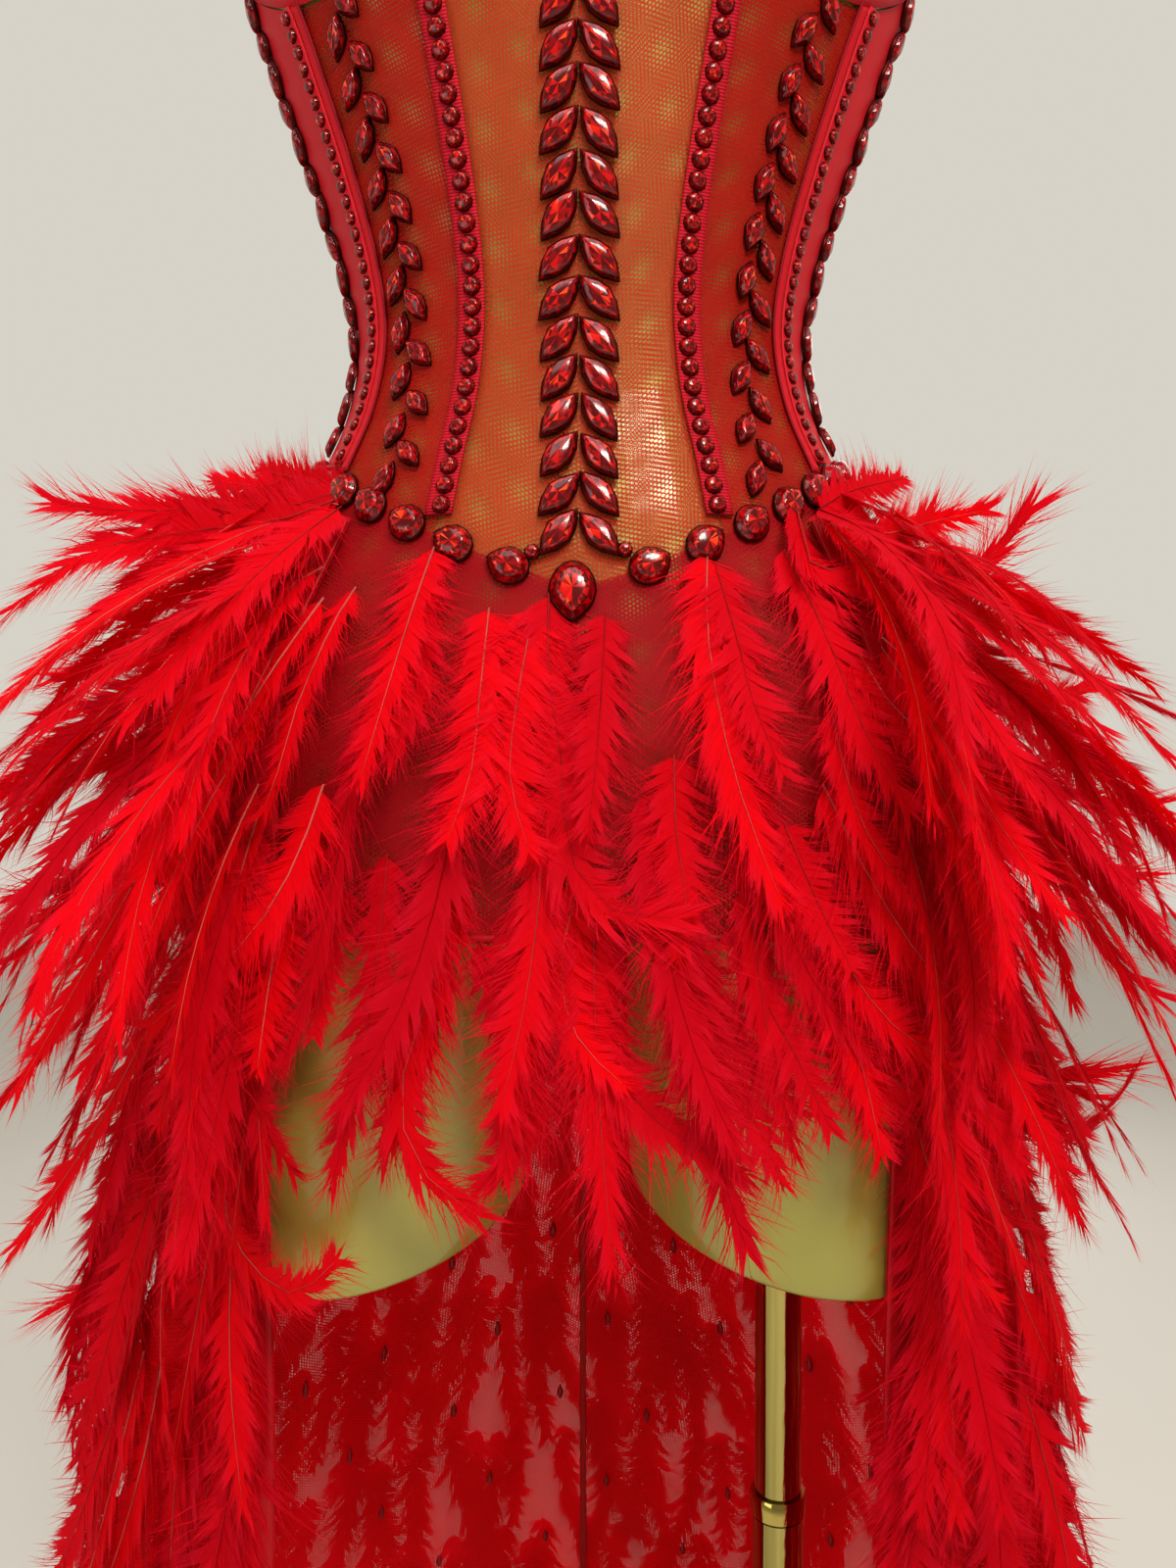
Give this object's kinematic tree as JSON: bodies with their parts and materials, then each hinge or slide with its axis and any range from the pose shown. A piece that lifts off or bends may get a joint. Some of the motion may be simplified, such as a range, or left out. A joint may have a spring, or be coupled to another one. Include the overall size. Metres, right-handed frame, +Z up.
{
  "type": "sheer corset stage dress with a feathered train on a dress form",
  "caption": "Strapless boned sheer corset mini dress with stone trim, feathered skirt and open-front floor-length feathered train, worn by a limbless dress form on a pole stand.",
  "frame": {"origin": "centre of the base plate's underside, on the floor", "axes": "+Z up along the dress form, the front of the dress faces -Y, +X is the right side as seen from the front"},
  "size_m": [0.7399, 0.6129, 1.559],
  "materials": {
    "form_cover": "olive-gold satin cover with a soft sheen",
    "stand_brass": "polished",
    "corset_mesh": "sheer red stretch mesh",
    "satin": "red matt satin",
    "casing_tape": "ribbed red tape with round stones",
    "ruby_stone": "faceted ruby glass stones in claw settings",
    "skirt_mesh": "sheer red stretch mesh, matt",
    "feather": "soft dyed red feathers"
  },
  "bodies": {
    "root": {"dress_form": "form_cover", "neck_cap": "stand_brass", "pole_upper": "stand_brass", "pole_lower": "stand_brass", "pole_ring": "stand_brass", "base_plate": "stand_brass", "panel_centre_front": "corset_mesh", "panel_side_front_left": "corset_mesh", "panel_side_front_right": "corset_mesh", "panel_side_left": "satin", "panel_side_right": "satin", "panel_back_left": "corset_mesh", "panel_back_right": "corset_mesh", "back_closure": "satin", "cup_left": "satin", "cup_right": "satin", "casing_front_left": "casing_tape", "casing_front_right": "casing_tape", "casing_side_left": "casing_tape", "casing_side_right": "casing_tape", "stones_centre_front": "ruby_stone", "stones_garland_left": "ruby_stone", "stones_garland_right": "ruby_stone", "stones_side_left": "ruby_stone", "stones_side_right": "ruby_stone", "stones_waistline": "ruby_stone", "skirt_front": "skirt_mesh", "train_side_left": "skirt_mesh", "train_back_left": "skirt_mesh", "train_back_right": "skirt_mesh", "train_side_right": "skirt_mesh", "train_band_left": "satin", "train_band_right": "satin", "feathers_front_1": "feather", "feathers_front_2": "feather", "feathers_front_3": "feather", "feathers_train_01": "feather", "feathers_train_02": "feather", "feathers_train_03": "feather", "feathers_train_04": "feather", "feathers_train_05": "feather", "feathers_train_06": "feather", "feathers_train_07": "feather", "feathers_train_08": "feather", "feathers_train_09": "feather"}
  },
  "joints": []
}
